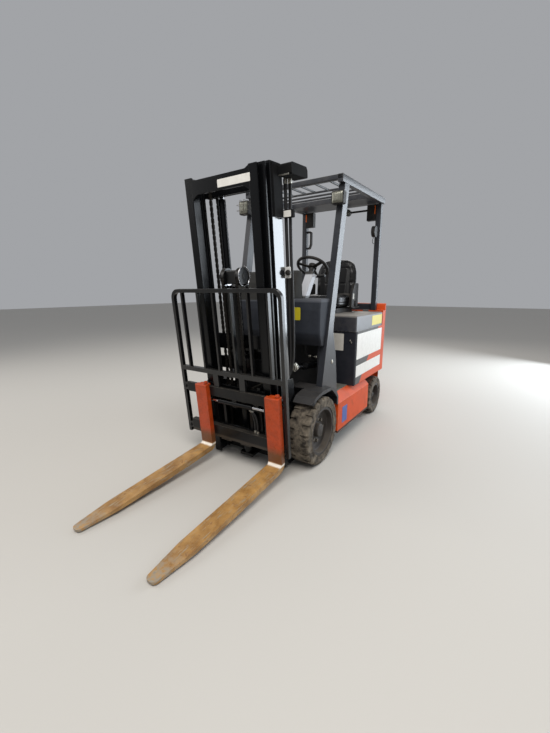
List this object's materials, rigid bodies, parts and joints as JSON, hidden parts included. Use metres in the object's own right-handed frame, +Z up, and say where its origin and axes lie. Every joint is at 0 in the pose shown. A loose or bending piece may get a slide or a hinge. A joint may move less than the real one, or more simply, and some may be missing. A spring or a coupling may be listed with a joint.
{
  "type": "forklift",
  "caption": "Four-wheel electric counterbalance forklift with a three-stage mast, side-shifting forks, overhead guard and rear steering.",
  "frame": {"origin": "on the floor, under the centre of the whole truck's bounding box in its parked rest pose", "axes": "+X to the truck's left, -Y forwards along the forks, +Z up"},
  "size_m": [1.078, 3.1881, 2.2373],
  "materials": {
    "orange_paint": "worn satin",
    "dark_paint": "satin",
    "grey_paint": "satin",
    "fender_paint": "satin",
    "black_paint": "gloss",
    "fork_steel": "worn",
    "pillar_paint": "satin",
    "chrome_rod": "polished",
    "chain_steel": "oiled",
    "cast": "cast",
    "tyre": "dusty",
    "rim_paint": "dusty",
    "vinyl": "soft",
    "black_plastic": "matt",
    "battery_case": "matt"
  },
  "bodies": {
    "chassis": {"chassis_frame": "orange_paint", "axle_cheeks": "cast", "rear_deck": "orange_paint", "floor_step": "grey_paint", "front_fenders": "fender_paint", "cowl": "dark_paint", "controls": "black_plastic", "drive_axle": "cast", "steer_axle": "cast", "counterweight": "orange_paint", "battery": "battery_case", "battery_panels": "orange_paint", "guard_pillars": "pillar_paint", "guard_roof": "dark_paint", "guard_fittings": "black_plastic"},
    "hood_lid": {"hood": "grey_paint", "seat_base": "black_plastic", "seat_cushion": "vinyl", "seat_back": "vinyl"},
    "mast_outer": {"outer_rails": "black_paint", "lift_barrels": "black_paint"},
    "mast_middle": {"middle_rails": "black_paint", "lift_rods": "chrome_rod", "chain_outer_middle": "chain_steel", "chain_middle_inner": "chain_steel"},
    "mast_inner": {"inner_rails": "black_paint", "free_lift_barrel": "black_paint"},
    "crosshead": {"crosshead": "black_paint", "chain_inner_crosshead": "chain_steel", "chain_crosshead_carriage": "chain_steel"},
    "carriage": {"carriage_plates": "black_paint", "shift_cylinder": "black_paint"},
    "shifter": {"shifter_frame": "black_paint", "load_backrest": "black_paint", "fork_left": "fork_steel", "fork_right": "fork_steel"},
    "tilt_barrel_left": {"tilt_left_barrel": "black_paint"},
    "tilt_rod_left": {"tilt_left_rod": "chrome_rod"},
    "tilt_barrel_right": {"tilt_right_barrel": "black_paint"},
    "tilt_rod_right": {"tilt_right_rod": "chrome_rod"},
    "front_wheel_left": {"front_left_rim": "rim_paint", "front_left_tyre": "tyre"},
    "front_wheel_right": {"front_right_rim": "rim_paint", "front_right_tyre": "tyre"},
    "knuckle_left": {"knuckle_left": "cast"},
    "knuckle_right": {"knuckle_right": "cast"},
    "rear_wheel_left": {"rear_left_rim": "rim_paint", "rear_left_tyre": "tyre"},
    "rear_wheel_right": {"rear_right_rim": "rim_paint", "rear_right_tyre": "tyre"},
    "steering_wheel": {"steering_wheel": "black_plastic"}
  },
  "joints": [
    {"name": "hood_hinge", "type": "hinge", "parent": "chassis", "child": "hood_lid", "pos_m": [0, 1.30422, 1.112], "axis": [-1, 0, 0], "range_deg": [0, 60]},
    {"name": "mast_tilt", "type": "hinge", "parent": "chassis", "child": "mast_outer", "pos_m": [0, -0.10578, 0.2665], "axis": [-1, 0, 0], "range_deg": [0, 11.5]},
    {"name": "mast_middle_lift", "type": "slide", "parent": "mast_outer", "child": "mast_middle", "axis": [0, -0.0958, 0.9954], "range_m": [0, 1.6], "deforming": ["chain_outer_middle"]},
    {"name": "mast_inner_lift", "type": "slide", "parent": "mast_middle", "child": "mast_inner", "axis": [0, -0.0958, 0.9954], "range_m": [0, 1.6], "deforming": ["chain_middle_inner"]},
    {"name": "crosshead_lift", "type": "slide", "parent": "mast_inner", "child": "crosshead", "axis": [0, -0.0958, 0.9954], "range_m": [0, 0.55], "deforming": ["chain_inner_crosshead"]},
    {"name": "carriage_lift", "type": "slide", "parent": "crosshead", "child": "carriage", "axis": [0, -0.0958, 0.9954], "range_m": [0, 0.55], "deforming": ["chain_crosshead_carriage"]},
    {"name": "side_shift", "type": "slide", "parent": "carriage", "child": "shifter", "axis": [1, 0, 0], "range_m": [-0.07, 0.13]},
    {"name": "tilt_left_pivot", "type": "hinge", "parent": "chassis", "child": "tilt_barrel_left", "pos_m": [0.325, 0.18422, 0.722], "axis": [-1, 0, 0], "range_deg": [0, 3.5]},
    {"name": "tilt_left_stroke", "type": "slide", "parent": "tilt_barrel_left", "child": "tilt_rod_left", "axis": [0, 0.9947, -0.1024], "range_m": [0, 0.0985]},
    {"name": "tilt_right_pivot", "type": "hinge", "parent": "chassis", "child": "tilt_barrel_right", "pos_m": [-0.325, 0.18422, 0.722], "axis": [-1, 0, 0], "range_deg": [0, 3.5]},
    {"name": "tilt_right_stroke", "type": "slide", "parent": "tilt_barrel_right", "child": "tilt_rod_right", "axis": [0, 0.9947, -0.1024], "range_m": [0, 0.0985]},
    {"name": "front_left_spin", "type": "hinge", "parent": "chassis", "child": "front_wheel_left", "pos_m": [0.45, -0.10578, 0.2665], "axis": [1, 0, 0], "continuous": true},
    {"name": "steer_left", "type": "hinge", "parent": "chassis", "child": "knuckle_left", "pos_m": [0.34, 1.26422, 0.203], "axis": [0, 0, 1], "range_deg": [-75, 75]},
    {"name": "rear_left_spin", "type": "hinge", "parent": "knuckle_left", "child": "rear_wheel_left", "pos_m": [0.452, 1.26422, 0.203], "axis": [1, 0, 0], "continuous": true},
    {"name": "front_right_spin", "type": "hinge", "parent": "chassis", "child": "front_wheel_right", "pos_m": [-0.45, -0.10578, 0.2665], "axis": [1, 0, 0], "continuous": true},
    {"name": "steer_right", "type": "hinge", "parent": "chassis", "child": "knuckle_right", "pos_m": [-0.34, 1.26422, 0.203], "axis": [0, 0, 1], "range_deg": [-75, 75]},
    {"name": "rear_right_spin", "type": "hinge", "parent": "knuckle_right", "child": "rear_wheel_right", "pos_m": [-0.452, 1.26422, 0.203], "axis": [1, 0, 0], "continuous": true},
    {"name": "steering_wheel_turn", "type": "hinge", "parent": "chassis", "child": "steering_wheel", "pos_m": [0.14, 0.42422, 1.518], "axis": [0, 0.5592, 0.829], "continuous": true}
  ],
  "couplings": [
    {"joint": "mast_inner_lift", "follows": "mast_middle_lift", "ratio": 1},
    {"joint": "carriage_lift", "follows": "crosshead_lift", "ratio": 1},
    {"joint": "tilt_left_pivot", "follows": "mast_tilt", "ratio": 0.30295},
    {"joint": "tilt_right_pivot", "follows": "mast_tilt", "ratio": 0.30295},
    {"joint": "tilt_left_stroke", "follows": "mast_tilt", "m_per_rad": 0.48955},
    {"joint": "tilt_right_stroke", "follows": "mast_tilt", "m_per_rad": 0.48955},
    {"joint": "steer_right", "follows": "steer_left", "ratio": 1}
  ]
}
